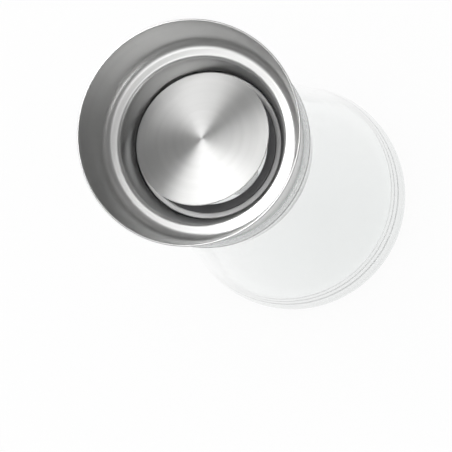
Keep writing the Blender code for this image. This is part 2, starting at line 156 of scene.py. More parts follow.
class CarafeColours(PropertyGroup):
    """Colours of the finishes"""

    glass: colour("Glass", "Tint of the clear glass", (0.945, 0.96, 0.955))
    satin: colour("Satin steel", "Collar and throat tube", (0.60, 0.60, 0.595))
    spun: colour("Spun steel", "Plate of the lid", (0.62, 0.62, 0.615))
    plain: colour("Plain steel", "Ring, stem, weight, nut, pin and snap ring", (0.52, 0.52, 0.52))
    silicone: colour("Grey silicone", "Lid's seal and small ring", (0.15, 0.15, 0.155))
    milky: colour("Milky silicone", "Sleeve in the neck", (0.80, 0.83, 0.82))
    plastic: colour("Plastic", "Core of the lid", (0.20, 0.20, 0.205))
    floor: colour("Floor", "The pale floor", (0.94, 0.94, 0.94))


# Outlines in the (r, z) plane


def arc(centre_r, centre_z, radius, start, end, count):
    """Points of an arc, angles in degrees from +r towards +z."""
    steps = [radians(start + (end - start) * i / (count - 1)) for i in range(count)]
    return [(centre_r + radius * cos(a), centre_z + radius * sin(a)) for a in steps]


def curve(radius_at, start, end, count):
    """Points (radius_at(z), z) at even steps of z."""
    heights = [start + (end - start) * i / (count - 1) for i in range(count)]
    return [(radius_at(z), z) for z in heights]


def offset(points, distance):
    """The same open line moved sideways, to the left of its own direction."""
    moved = []
    for i, (r, z) in enumerate(points):
        before = points[max(i - 1, 0)]
        after = points[min(i + 1, len(points) - 1)]
        way = atan2(after[1] - before[1], after[0] - before[0])
        moved.append((r - distance * sin(way), z + distance * cos(way)))
    return moved


def eased(points, radius):
    """The closed outline with every corner rounded, by at most a third of the shorter side next to it."""
    rounded = []
    total = len(points)
    count = 4
    for i in range(total):
        corner = Vector(points[i])
        to_last = Vector(points[i - 1]) - corner
        to_next = Vector(points[(i + 1) % total]) - corner
        reach = min(radius, to_last.length / 3, to_next.length / 3)
        start = corner + to_last.normalized() * reach
        end = corner + to_next.normalized() * reach
        for k in range(count):
            t = k / (count - 1)
            rounded.append(tuple(start * (1 - t)**2 + corner * 2 * t * (1 - t) + end * t**2))
    return rounded


# Modelling


def deselect():
    """The next operator then acts only on the piece that it adds or is given."""
    bpy.ops.object.select_all(action="DESELECT")


def turned(name, outline, facets=FINE):
    """Draws the outline with a vertex, extruded point by point, and spins it round the Z axis.

    An outline that starts on the axis ends there too. Any other is closed.
    """
    closed = outline[0][0] > 0
    path = outline + [outline[0]] if closed else outline
    deselect()
    bpy.ops.mesh.primitive_plane_add(size=MM, location=(0, 0, 0))
    obj = bpy.context.object
    obj.name = name
    obj.data.name = name
    bpy.ops.object.mode_set(mode="EDIT")
    bpy.ops.mesh.select_all(action="SELECT")
    bpy.ops.mesh.merge(type="CENTER")
    here = (0.0, 0.0)
    for i, (r, z) in enumerate(path):
        step = (r - here[0], 0, z - here[1])
        if i == 0:
            bpy.ops.transform.translate(value=step)
        else:
            bpy.ops.mesh.extrude_vertices_move(TRANSFORM_OT_translate={"value": step})
        here = (r, z)
    bpy.ops.mesh.select_all(action="SELECT")
    bpy.ops.mesh.remove_doubles(threshold=MERGE)
    bpy.ops.mesh.spin(steps=facets, angle=tau, center=(0, 0, 0), axis=(0, 0, 1))
    bpy.ops.mesh.select_all(action="SELECT")
    bpy.ops.mesh.remove_doubles(threshold=MERGE)
    bpy.ops.mesh.normals_make_consistent(inside=False)
    bpy.ops.object.mode_set(mode="OBJECT")
    bpy.ops.object.shade_smooth_by_angle(angle=SHARP)
    return obj


def rod(radius, long, middle):
    """A round rod along Y."""
    deselect()
    bpy.ops.mesh.primitive_cylinder_add(vertices=FINE_SMALL, radius=radius, depth=long, location=middle,
                                        rotation=(pi / 2, 0, 0))
    bpy.ops.object.transform_apply(location=True, rotation=True, scale=True)
    bpy.ops.object.shade_smooth_by_angle(angle=SHARP)
    return bpy.context.object


def block(low, high):
    """A box between two corners."""
    middle = [(a + b) / 2 for a, b in zip(low, high)]
    deselect()
    bpy.ops.mesh.primitive_cube_add(size=1, location=middle)
    bpy.context.object.scale = [b - a for a, b in zip(low, high)]
    bpy.ops.object.transform_apply(location=True, rotation=True, scale=True)
    return bpy.context.object


def cut(obj, tool, operation="DIFFERENCE"):
    """Cuts a helper out of a piece, or joins it, and takes the helper away."""
    deselect()
    bpy.context.view_layer.objects.active = obj
    obj.select_set(True)
    bpy.ops.object.modifier_add(type="BOOLEAN")
    modifier = obj.modifiers[-1]
    modifier.operation = operation
    modifier.solver = "EXACT"
    modifier.object = tool
    bpy.ops.object.modifier_apply(modifier=modifier.name)
    bpy.data.objects.remove(tool, do_unlink=True)
    bpy.ops.object.shade_smooth_by_angle(angle=SHARP)


def land():
    """Height of the face that the lid closes on."""
    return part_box("lid_carrier")[1].z


def lid_matrix():
    """From the lid's own frame, whose middle is at the height of the land, to the object's frame."""
    return (Matrix.Translation(HINGE) @ Euler((0, -LID_OPEN, 0)).to_matrix().to_4x4()
            @ Matrix.Translation((-HINGE.x, 0, land() - HINGE.z)))


def hang_on_lid(obj):
    """Takes a piece that was drawn closed, in the lid's own frame, to where the open lid holds it."""
    obj.data.transform(lid_matrix())
    return obj


def dress(obj, node, material):
    """Gives a piece its finish, its body and its place in the frame."""
    obj.data.materials.clear()
    obj.data.materials.append(material)
    body = next(name for name, nodes in frame["record"]["behaviour"]["bodies"].items() if node in nodes)
    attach(obj, body)
    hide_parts(node)
    return obj


# Node helpers


def shared(build):
    """The node group that a function builds, made at its first use and named after the function."""
    return bpy.data.node_groups.get(build.__name__) or build(build.__name__)


def new_group(name, inputs, outputs):
    """An empty node group with its sockets, and the two nodes that hold them inside."""
    group = bpy.data.node_groups.new(name, "ShaderNodeTree")
    for label, kind, default in inputs:
        socket = group.interface.new_socket(name=label, in_out="INPUT", socket_type=kind)
        if default is not None:
            socket.default_value = default
    for label, kind in outputs:
        group.interface.new_socket(name=label, in_out="OUTPUT", socket_type=kind)
    return group, group.nodes.new("NodeGroupInput"), group.nodes.new("NodeGroupOutput")


def add(tree, kind, settings=None, **inputs):
    """Adds a node, sets its properties, and sets or links its inputs, by name or by number as in _0."""
    node = tree.nodes.new(kind)
    for key, value in (settings or {}).items():
        setattr(node, key, value)
    for key, value in inputs.items():
        socket = node.inputs[int(key[1:])] if key[0] == "_" else node.inputs[key.replace("_", " ")]
        if isinstance(value, bpy.types.NodeSocket):
            tree.links.new(value, socket)
        else:
            socket.default_value = value
    return node


def math(tree, operation, a, b=0.0):
    """One step of arithmetic, on one or two values."""
    return add(tree, "ShaderNodeMath", {"operation": operation}, _0=a, _1=b).outputs[0]


def turned_grain(name):
    """Fine rings round the Z axis, broken a little along the way, as a brush or a lathe leaves them."""
    group, source, out = new_group(
        name,
        [("Vector", "NodeSocketVector", None), ("Scale", "NodeSocketFloat", 4000.0),
         ("Break", "NodeSocketFloat", 1.5)],
        [("Rings", "NodeSocketFloat"), ("Soft", "NodeSocketFloat")],
    )
    split = add(group, "ShaderNodeSeparateXYZ", Vector=source.outputs["Vector"])
    x, y, z = split.outputs
    squares = math(group, "ADD", math(group, "MULTIPLY", x, x), math(group, "MULTIPLY", y, y))
    radius = math(group, "SQRT", squares)
    angle = math(group, "ARCTAN2", y, x)
    around = math(group, "MULTIPLY", angle, source.outputs["Break"])
    place = add(group, "ShaderNodeCombineXYZ",
                X=math(group, "MULTIPLY", radius, source.outputs["Scale"]),
                Y=around,
                Z=math(group, "MULTIPLY", z, source.outputs["Scale"])).outputs[0]
    rings = add(group, "ShaderNodeTexNoise", Vector=place, Scale=1.0, Detail=4.0, Roughness=0.65)
    soft = add(group, "ShaderNodeTexNoise", Vector=place, Scale=0.12, Detail=2.0, Roughness=0.5)
    group.links.new(rings.outputs[0], out.inputs["Rings"])
    group.links.new(soft.outputs[0], out.inputs["Soft"])
    return group


def surface_marks(name):
    """Cloudy patches and faint hairlines: the traces of hands and washing."""
    group, source, out = new_group(
        name,
        [("Vector", "NodeSocketVector", None), ("Scale", "NodeSocketFloat", 60.0)],
        [("Cloud", "NodeSocketFloat"), ("Hairs", "NodeSocketFloat")],
    )
    cloud = add(group, "ShaderNodeTexNoise", Vector=source.outputs["Vector"], Scale=source.outputs["Scale"],
                Detail=5.0, Roughness=0.6)
    stretched = add(group, "ShaderNodeMapping", Vector=source.outputs["Vector"], Rotation=(0.4, 0.9, 0.6),
                    Scale=(900.0, 40.0, 900.0))
    hairs = add(group, "ShaderNodeTexNoise", Vector=stretched.outputs[0], Scale=1.0, Detail=2.0,
                Roughness=0.5)
    fine = add(group, "ShaderNodeMapRange", Value=hairs.outputs[0], From_Min=0.68, From_Max=0.78)
    group.links.new(cloud.outputs[0], out.inputs["Cloud"])
    group.links.new(fine.outputs[0], out.inputs["Hairs"])
    return group


def moulded_skin(name):
    """The fine eroded skin that a mould leaves on silicone and plastic."""
    group, source, out = new_group(
        name,
        [("Vector", "NodeSocketVector", None), ("Scale", "NodeSocketFloat", 2600.0),
         ("Detail", "NodeSocketFloat", 3.0), ("Roughness", "NodeSocketFloat", 0.6)],
        [("Height", "NodeSocketFloat")],
    )
    vector, scale, detail, roughness = source.outputs[:4]
    skin = add(group, "ShaderNodeTexNoise", Vector=vector, Scale=scale, Detail=detail, Roughness=roughness)
    group.links.new(skin.outputs[0], out.inputs["Height"])
    return group


def place_of(tree, matrix=None):
    """Object coordinates, moved into a piece's own frame where one is given."""
    coords = tree.nodes.new("ShaderNodeTexCoord").outputs["Object"]
    if matrix is None:
        return coords
    inverse = matrix.inverted()
    return add(tree, "ShaderNodeMapping", {"vector_type": "POINT"}, Vector=coords,
               Location=inverse.to_translation(), Rotation=inverse.to_euler()).outputs[0]


def use_group(tree, build, **inputs):
    """Places a shared group in a material, with the material's own values."""
    return add(tree, "ShaderNodeGroup", {"node_tree": shared(build)}, **inputs)


def vary(tree, value, low, high):
    """Maps a 0 to 1 value to a range."""
    return add(tree, "ShaderNodeMapRange", Value=value, To_Min=low, To_Max=high).outputs[0]


def tinted(tree, base, value, low, high):
    """The base colour, a little darker or lighter with the value."""
    dark = tuple(c * low for c in base) + (1.0,)
    light = tuple(min(c * high, 1.0) for c in base) + (1.0,)
    return add(tree, "ShaderNodeMix", {"data_type": "RGBA"}, _0=value, _6=dark, _7=light).outputs[2]


def bump(tree, shader, height, strength, distance):
    """Gives the surface a fine relief."""
    relief = add(tree, "ShaderNodeBump", Height=height, Strength=strength, Distance=distance)
    tree.links.new(relief.outputs[0], shader.inputs["Normal"])


def new_material(name):
    """A material, its node tree and its shader."""
    material = bpy.data.materials.new(name)
    material.use_nodes = True
    return material, material.node_tree, material.node_tree.nodes["Principled BSDF"]


def steel(name, base, roughness, grain_scale, grain_break, relief, anisotropic=0.0, matrix=None):
    """Turned or brushed stainless steel, whose rings run round the piece's own Z axis."""
    material, tree, shader = new_material(name)
    place = place_of(tree, matrix)
    grain = use_group(tree, turned_grain, Vector=place, Scale=grain_scale, Break=grain_break)
    marks = use_group(tree, surface_marks, Vector=place)
    shader.inputs["Metallic"].default_value = 1.0
    shader.inputs["Anisotropic"].default_value = anisotropic
    base_colour = tinted(tree, base, grain.outputs["Soft"], low=0.94, high=1.06)
    tree.links.new(base_colour, shader.inputs["Base Color"])
    cloud = vary(tree, marks.outputs["Cloud"], roughness * 0.88, roughness * 1.14)
    hairs = math(tree, "MULTIPLY", marks.outputs["Hairs"], 0.06)
    tree.links.new(math(tree, "ADD", cloud, hairs), shader.inputs["Roughness"])
    bump(tree, shader, grain.outputs["Rings"], strength=relief, distance=0.02 * MM)
    if anisotropic:
        shader.inputs["Anisotropic Rotation"].default_value = 0.25
        tangent = add(tree, "ShaderNodeTangent", {"direction_type": "RADIAL", "axis": "Z"})
        tree.links.new(tangent.outputs[0], shader.inputs["Tangent"])
    return material


def glass(name, base):
    """Clear blown glass: almost even, with a faint swell and a little haze from handling."""
    material, tree, shader = new_material(name)
    place = place_of(tree)
    marks = use_group(tree, surface_marks, Vector=place, Scale=25.0)
    shader.inputs["Metallic"].default_value = 0.0
    shader.inputs["Transmission Weight"].default_value = 1.0
    shader.inputs["IOR"].default_value = 1.5
    base_colour = tinted(tree, base, marks.outputs["Cloud"], low=0.995, high=1.005)
    tree.links.new(base_colour, shader.inputs["Base Color"])
    tree.links.new(vary(tree, marks.outputs["Cloud"], 0.0, 0.02), shader.inputs["Roughness"])
    swell = add(tree, "ShaderNodeTexNoise", Vector=place, Scale=35.0, Detail=1.0, Roughness=0.4)
    bump(tree, shader, swell.outputs[0], strength=0.15, distance=0.1 * MM)
    return material


def moulded(name, base, roughness, specular, matrix=None):
    """Matt moulded plastic or silicone: a fine eroded skin with a little dust."""
    material, tree, shader = new_material(name)
    place = place_of(tree, matrix)
    marks = use_group(tree, surface_marks, Vector=place, Scale=90.0)
    shader.inputs["Specular IOR Level"].default_value = specular
    base_colour = tinted(tree, base, marks.outputs["Cloud"], low=0.85, high=1.25)
    tree.links.new(base_colour, shader.inputs["Base Color"])
    rough = vary(tree, marks.outputs["Cloud"], roughness * 0.85, roughness * 1.15)
    tree.links.new(rough, shader.inputs["Roughness"])
    skin = use_group(tree, moulded_skin, Vector=place, Scale=2600.0, Detail=3.0, Roughness=0.6)
    bump(tree, shader, skin.outputs["Height"], strength=0.25, distance=0.03 * MM)
    return material


def milky_rubber(name, base):
    """Soft, half clear silicone."""
    material, tree, shader = new_material(name)
    place = place_of(tree)
    marks = use_group(tree, surface_marks, Vector=place, Scale=70.0)
    shader.inputs["Transmission Weight"].default_value = 0.35
    shader.inputs["IOR"].default_value = 1.41
    base_colour = tinted(tree, base, marks.outputs["Cloud"], low=0.97, high=1.03)
    tree.links.new(base_colour, shader.inputs["Base Color"])
    tree.links.new(vary(tree, marks.outputs["Cloud"], 0.38, 0.5), shader.inputs["Roughness"])
    skin = use_group(tree, moulded_skin, Vector=place, Scale=1800.0, Detail=2.0, Roughness=0.5)
    bump(tree, shader, skin.outputs["Height"], strength=0.15, distance=0.02 * MM)
    return material


# Pieces


def body_radius(sizes, z):
    """Outer radius of the glass from the heel up to the waist."""
    along = (sizes.waist_z - z) / (sizes.waist_z - sizes.heel_r)
    return sizes.waist_r + (sizes.body_r - sizes.waist_r) * along**1.4


def neck_radius(sizes, z, lip_z):
    """Outer radius of the glass from the waist up to the lip."""
    along = (z - sizes.waist_z) / (lip_z - sizes.waist_z)
    return sizes.waist_r + (sizes.lip_r - sizes.waist_r) * (1 - cos(pi * along)) / 2


class CARAFE_OT_glass(Operator):
    """Turn the glass body, with its rounded lip, slim waist, thick bottom and standing ring"""

    bl_idname = "carafe.glass"
    bl_label = "Glass body"

    def execute(self, context):
        sizes = context.scene.carafe_sizes
        lip_round = 2.4 * MM
        lip_in = 1.4 * MM
        bore_r = sizes.waist_r - sizes.wall
        lip_z = sizes.glass_top - lip_round
        heel_top = 2 * sizes.heel_r
        punt_edge = 0.8 * sizes.punt
        inner_foot = sizes.floor + sizes.heel_in_r
        floor_r = body_radius(sizes, inner_foot) - sizes.wall - sizes.heel_in_r

        def outer(z):
            return body_radius(sizes, z)

        outline = arc(bore_r + lip_in, sizes.glass_top - lip_in, lip_in, 180, 90, 8)
        outline += arc(sizes.lip_r - lip_round, lip_z, lip_round, 90, 0, 10)
        outline += curve(lambda z: neck_radius(sizes, z, lip_z), lip_z, sizes.waist_z, 18)[1:-1]
        outline += curve(outer, sizes.waist_z, heel_top, 40)
        outline += arc(sizes.body_r - sizes.heel_r, sizes.heel_r, sizes.heel_r, 8, -90, 20)
        outline += [(sizes.standing_r, 0)]
        outline += [(sizes.standing_r - 2 * sizes.punt, punt_edge), (0, sizes.punt)]
        outline += [(0, sizes.floor)] + arc(floor_r, inner_foot, sizes.heel_in_r, -90, 0, 20)
        inside = curve(outer, heel_top + sizes.heel_in_r, sizes.waist_z, 34)
        outline += [(r - sizes.wall, z) for r, z in inside]
        piece = turned("clear_glass_body", outline)
        clear = glass("clear_glass", context.scene.carafe_colours.glass)
        dress(piece, "glass_body", clear)
        return {"FINISHED"}


def step_height(sizes):
    """Height of the shoulder at its top."""
    return sizes.height - sizes.step_depth


def bowl(sizes, count):
    """The hollow wall between the shoulder's rounding and the edge of the throat, from the top down."""
    low_z = sizes.height - sizes.throat_depth
    spread = sizes.shoulder_r - sizes.shoulder_round - sizes.throat_r
    rise = step_height(sizes) - sizes.shoulder_round - low_z
    long = hypot(spread, rise)
    points = []
    for i in range(count):
        along = 1 - i / (count - 1)
        bulge = 4 * sizes.bowl * along * (1 - along)
        points.append((sizes.throat_r + spread * along + bulge * rise / long,
                       low_z + rise * along - bulge * spread / long))
    return points


def clear_of_tube(sizes, z):
    """Radius that clears the outer side of the throat tube, above the edge of the throat."""
    (top_r, top_z), (low_r, low_z) = bowl(sizes, 2)
    clear_r = low_r + sizes.steel + sizes.fit + sizes.bowl
    return clear_r + (z - low_z) * (top_r - low_r) / (top_z - low_z)


def side_radius(sizes, z):
    """Outer radius of the collar."""
    along = (z - sizes.height + sizes.collar_h) / sizes.collar_h
    return sizes.foot_r + (sizes.rim_r - sizes.foot_r) * along**1.3


def skin_radius(sizes, z):
    """Inner radius of the collar's sheet."""
    return side_radius(sizes, z) - sizes.steel


def cove(sizes, start, end, count):
    """The hollow between shoulder and wall: 0 degrees is level on the shoulder, 90 up along the wall."""
    step_z = step_height(sizes)
    reach = skin_radius(sizes, step_z) - sizes.shoulder_r - sizes.shoulder_flat
    points = []
    for i in range(count):
        turn = radians(start + (end - start) * i / (count - 1))
        z = step_z + sizes.cove_h * (1 - cos(turn))
        points.append((skin_radius(sizes, z) - reach * (1 - sin(turn)), z))
    return points


class CARAFE_OT_collar(Operator):
    """Turn the flared collar with its rounded rim, and the throat tube whose shoulder it holds"""

    bl_idname = "carafe.collar"
    bl_label = "Pouring collar"

    def execute(self, context):
        sizes = context.scene.carafe_sizes
        satin = steel("brushed_collar_steel", context.scene.carafe_colours.satin, roughness=0.3,
                      grain_scale=2400.0, grain_break=1.6, relief=0.4, anisotropic=0.5)
        ledge = 3 * MM
        foot_round = 0.3 * MM
        foot_ease = 0.25 * MM
        rim_low = sizes.height - 4 * sizes.rim_round
        foot_z = sizes.height - sizes.collar_h
        foot_top = foot_z + sizes.steel
        ledge_z = step_height(sizes) - sizes.steel - sizes.fit

        def side(z):
            return side_radius(sizes, z)

        def skin(z):
            return skin_radius(sizes, z)

        ledge_in = skin(ledge_z) - ledge
        foot_in = clear_of_tube(sizes, foot_top)
        seam = cove(sizes, SEAM_TURN, 90, 14)
        seam_r, seam_z = seam[0]
        outline = arc(sizes.rim_r - sizes.rim_round, sizes.height - sizes.rim_round, sizes.rim_round,
                      170, -10, 12)
        outline += curve(side, rim_low, foot_top, 30)
        outline += arc(sizes.foot_r - foot_ease, foot_z + foot_round, foot_round, -20, -90, 4)
        outline += [(foot_in, foot_z), (foot_in, foot_top)]
        outline += curve(skin, foot_top, ledge_z - sizes.steel, 8)
        outline += [(ledge_in, ledge_z - sizes.steel), (ledge_in, ledge_z), (skin(ledge_z), ledge_z)]
        outline += [(skin(seam_z), seam_z + sizes.seam), (seam_r, seam_z + sizes.seam)] + seam[1:]
        outline += curve(skin, step_height(sizes) + sizes.cove_h, rim_low, 22)[1:]
        dress(turned("brushed_collar", outline), "pouring_collar", satin)

        tube_end = land() - sizes.tube_length
        inner = cove(sizes, SEAM_TURN, 0, 12)
        inner += arc(sizes.shoulder_r, step_height(sizes) - sizes.shoulder_round, sizes.shoulder_round,
                     90, 180, 18)
        inner += bowl(sizes, 20)[1:] + [(sizes.throat_r, tube_end + sizes.curl)]
        outline = offset(inner, sizes.steel)
        outline += [(sizes.throat_r + sizes.steel / 2 + sizes.curl, tube_end + sizes.steel),
                    (sizes.throat_r + sizes.curl, tube_end)]
        outline += inner[::-1]
        dress(turned("brushed_throat_tube", outline), "throat_tube", satin)
        return {"FINISHED"}


def sleeve_outline(sizes):
    """The sleeve: a flange on the lip of the glass, a wall, and thin lips that reach for the bore."""
    flange = 1.0 * MM
    flange_back = 2.1 * MM
    wall = 1.9 * MM
    lips = 4
    first_lip = 3 * MM
    tip_round = 0.2 * MM
    tip_drop = 0.5 * MM
    lip_h = 1.3 * MM
    low = sizes.glass_top + sizes.stack_fit
    top = low + flange
    sleeve_r = sizes.throat_r + sizes.steel + sizes.fit
    wall_r = sleeve_r + wall
    tip_r = sizes.waist_r - sizes.wall - sizes.fit
    foot = land() - sizes.tube_length + sizes.curl + sizes.fit
    throat_z = sizes.height - sizes.throat_depth
    outline = arc(sizes.lip_r - flange_back, low + flange / 2, flange / 2, 90, -90, 10) + [(wall_r, low)]
    pitch = (low - first_lip - foot) / lips
    for i in range(lips):
        root = low - first_lip - i * pitch
        outline += [(wall_r, root)] + arc(tip_r - tip_round, root - tip_drop, tip_round, 60, -60, 5)
        outline += [(wall_r, root - lip_h)]
    outline += [(wall_r, foot), (sleeve_r, foot), (sleeve_r, throat_z)]
    return outline + [(clear_of_tube(sizes, top), top)]


class CARAFE_OT_seals(Operator):
    """Turn the soft pieces: the sleeve in the neck, the lid's seal and the small ring under it"""

    bl_idname = "carafe.seals"
    bl_label = "Seals"

    def execute(self, context):
        sizes = context.scene.carafe_sizes
        colours = context.scene.carafe_colours
        land_z = land()
        grey = moulded("grey_silicone", colours.silicone, roughness=0.55, specular=0.35)
        milky = milky_rubber("milky_silicone", colours.milky)
        dress(turned("milky_sleeve", sleeve_outline(sizes)), "seal_sleeve", milky)

        edge = 0.2 * MM
        outer = sizes.seat_r - sizes.fit
        inner = sizes.bore_r + sizes.fit
        low = land_z - SEAL
        outline = [(outer, land_z), (outer, low), (inner, low), (inner, land_z)]
        seal = turned("grey_lid_seal", eased(outline, edge))
        cut(seal, pocket_block(sizes))
        dress(seal, "lid_seal", grey)

        outline = arc(sizes.ring_r + sizes.fit / 2 - O_RING_R, land_z - O_RING_DROP, O_RING_R, 90, -250, 18)
        dress(turned("grey_o_ring", outline), "carrier_o_ring", grey)
        return {"FINISHED"}


def pocket_block(sizes):
    """Room for the lid's knuckle, out through the side of the ring."""
    half = 4.3 * MM
    past = 5.4 * MM
    inner_end = -23.1 * MM
    floor = HINGE.z - 2.0 * MM
    return block((-sizes.ring_r - past, -half, floor), (inner_end, half, land() + past))


def ring_bottom(sizes):
    """Height of the ring's lower end, well above the curl of the throat tube."""
    above_end = 6 * MM
    return land() - (sizes.tube_length - above_end)


def ring_outline(sizes):
    """The ring: a face with the seal's recess, a groove for the small ring, and a thin skirt below."""
    edge = 0.5 * MM
    recess = 1.0 * MM
    seat = 5.4 * MM
    skirt = 3 * MM
    groove = 1.2 * MM
    groove_h = 1.8 * MM
    land_z = land()
    bottom = ring_bottom(sizes)
    under = land_z - seat
    skirt_r = sizes.ring_r - skirt
    groove_r = sizes.ring_r - groove - sizes.fit / 2
    groove_top = land_z - O_RING_DROP + groove_h / 2
    groove_low = groove_top - groove_h
    outline = [(sizes.ring_r - edge, land_z)]
    outline += arc(sizes.ring_r - edge, land_z - edge, edge, 70, 0, 6)
    outline += [(sizes.ring_r, groove_top), (groove_r, groove_top), (groove_r, groove_low),
                (sizes.ring_r, groove_low), (sizes.ring_r, bottom), (skirt_r, bottom),
                (skirt_r, under - (skirt_r - sizes.bore_r)), (sizes.bore_r, under),
                (sizes.bore_r, land_z - recess), (sizes.seat_r, land_z - recess), (sizes.seat_r, land_z)]
    return outline


class CARAFE_OT_ring(Operator):
    """Turn the steel ring that the lid closes on, the snap ring under it, and the hinge pin"""

    bl_idname = "carafe.ring"
    bl_label = "Ring and pin"

    def execute(self, context):
        sizes = context.scene.carafe_sizes
        colours = context.scene.carafe_colours
        ring = turned("brushed_lid_ring", ring_outline(sizes))
        cut(ring, pocket_block(sizes))
        cut(ring, rod(sizes.pin_r + sizes.fit, 2 * sizes.ring_r, HINGE))
        brushed = steel("brushed_ring_steel", colours.plain, roughness=0.4, grain_scale=3200.0,
                        grain_break=1.2, relief=0.25, anisotropic=0.6)
        dress(ring, "lid_carrier", brushed)

        plain = steel("turned_plain_steel", colours.plain, roughness=0.3, grain_scale=3000.0,
                      grain_break=0.8, relief=0.2)
        snap_h = 1.2 * MM
        snap_width = 2.2 * MM
        snap_gap = 4 * MM
        snap_edge = 0.15 * MM
        top = ring_bottom(sizes) - sizes.stack_fit
        low = top - snap_h
        outer = sizes.ring_r
        inner = outer - snap_width
        outline = [(outer, top), (outer, low), (inner, low), (inner, top)]
        snap = turned("plain_snap_ring", eased(outline, snap_edge))
        cut(snap, block((inner - snap_width, -snap_gap, low - snap_h),
                        (outer + snap_width, snap_gap, top + snap_h)))
        dress(snap, "snap_ring", plain)

        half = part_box("hinge_pin")[1].y
        pin = rod(sizes.pin_r, 2 * half, HINGE)
        bpy.ops.object.mode_set(mode="EDIT")
        bpy.ops.mesh.select_all(action="SELECT")
        bpy.ops.mesh.bevel(offset=0.2 * MM, segments=3, affect="EDGES")
        bpy.ops.object.mode_set(mode="OBJECT")
        pin.name = "plain_hinge_pin"
        dress(pin, "hinge_pin", plain)
        return {"FINISHED"}


# The lid is drawn closed, with z from the land


def plate_under(sizes):
    """Underside of the lid's plate, which lies on the core's flange."""
    return 2 * sizes.stack_fit + FLANGE


def plate_outline(sizes):
    """The plate: flat, with a fine round edge."""
    ease = 0.25 * MM
    under = plate_under(sizes)
    top = under + PLATE
    outline = [(0, top), (sizes.lid_r * 0.5, top)] + arc(sizes.lid_r - ease, top - ease, ease, 90, 0, 5)
    return outline + arc(sizes.lid_r - ease / 2, under + ease / 2, ease / 2, 0, -90, 3) + [(0, under)]


def core_outline(sizes, bore):
    """The core: a flange under the plate, the plug, and the boss that the stem hangs in."""
    back = 1 * MM
    chamfer = 0.8 * MM
    plug_low = -3.5 * MM
    boss_r = 5 * MM
    boss_top = -6.5 * MM
    boss_low = -9 * MM
    edge = 0.35 * MM
    flange = sizes.stack_fit + FLANGE
    flange_r = sizes.lid_r - back
    return eased([(flange_r, flange), (flange_r, sizes.stack_fit), (sizes.plug_r, sizes.stack_fit),
                  (sizes.plug_r, plug_low + chamfer), (sizes.plug_r - chamfer, plug_low),
                  (boss_r + (plug_low - boss_top), plug_low), (boss_r, boss_top), (boss_r, boss_low),
                  (bore, boss_low), (bore, flange)], edge)


def nut_heights(sizes):
    """Top of the nut, start of its dome, and end of its bore."""
    top = -sizes.weight_drop - sizes.stack_fit
    dome = top - NUT_H
    return top, dome, dome - NUT_R + NUT_DOME


def stem_outline(sizes):
    """The stem: a rod from the plate down into the nut, with a shoulder above the weight."""
    shoulder_r = 3.4 * MM
    shoulder_h = 1.2 * MM
    shoulder_ease = 0.2 * MM
    end_ease = 0.4 * MM
    top = plate_under(sizes) - sizes.stack_fit
    shoulder = sizes.weight_h - sizes.weight_drop + sizes.stack_fit
    shoulder_top = shoulder + shoulder_h
    end = nut_heights(sizes)[2] + sizes.fit
    return [(0, top), (sizes.stem_r, top), (sizes.stem_r, shoulder_top),
            (shoulder_r - shoulder_ease, shoulder_top), (shoulder_r, shoulder_top - shoulder_ease),
            (shoulder_r, shoulder), (sizes.stem_r, shoulder), (sizes.stem_r, end + end_ease),
            (sizes.stem_r - end_ease, end), (0, end)]


def weight_outline(sizes, bore):
    """The weight: a drum with well rounded edges, bored for the stem."""
    edge = 2 * MM
    chamfer = 0.3 * MM
    low = -sizes.weight_drop
    top = low + sizes.weight_h
    outline = arc(sizes.weight_r - edge, top - edge, edge, 90, 0, 10)
    outline += arc(sizes.weight_r - edge, low + edge, edge, 0, -90, 10)
    return outline + [(bore + chamfer, low), (bore, low + chamfer), (bore, top)]


def nut_outline(sizes, bore):
    """The nut: domed below, with a blind bore from above."""
    top, dome, bore_end = nut_heights(sizes)
    outline = [(NUT_R, top)] + arc(0, dome, NUT_R, 0, -90, 14)[:-1] + [(0, dome - NUT_R)]
    return outline + [(0, bore_end), (bore, bore_end), (bore, top)]


class CARAFE_OT_lid(Operator):
    """Turn the lid's plate, core, stem, weight and nut, and hang them on the pin"""

    bl_idname = "carafe.lid"
    bl_label = "Tipping lid"

    def execute(self, context):
        sizes = context.scene.carafe_sizes
        colours = context.scene.carafe_colours
        hung = lid_matrix()
        spun = steel("spun_plate_steel", colours.spun, roughness=0.42, grain_scale=4200.0,
                     grain_break=2.2, relief=0.7, anisotropic=1.0, matrix=hung)
        dress(hang_on_lid(turned("spun_lid_plate", plate_outline(sizes))), "lid_disc", spun)

        bore = sizes.stem_r + sizes.fit
        core = turned("moulded_lid_core", core_outline(sizes, bore))
        pin_place = Vector((HINGE.x, 0, HINGE.z - land()))
        web_end = -23.4 * MM
        web_top = 0.7 * MM
        cut(core, block((HINGE.x, -KNUCKLE_HALF, pin_place.z), (web_end, KNUCKLE_HALF, web_top)), "UNION")
        cut(core, rod(KNUCKLE_R, 2 * KNUCKLE_HALF, pin_place), "UNION")
        cut(core, rod(sizes.pin_r + sizes.fit, 4 * KNUCKLE_HALF, pin_place))
        plastic = moulded("grey_plastic", colours.plastic, roughness=0.42, specular=0.5, matrix=hung)
        dress(hang_on_lid(core), "lid_core", plastic)

        plain = steel("turned_pendulum_steel", colours.plain, roughness=0.26, grain_scale=3000.0,
                      grain_break=0.8, relief=0.2, matrix=hung)
        for name, outline, node in (("plain_stem", stem_outline(sizes), "lid_stem"),
                                    ("plain_counterweight", weight_outline(sizes, bore), "counterweight"),
                                    ("plain_domed_nut", nut_outline(sizes, bore), "weight_nut")):
            dress(hang_on_lid(turned(name, outline, FINE_SMALL)), node, plain)
        return {"FINISHED"}


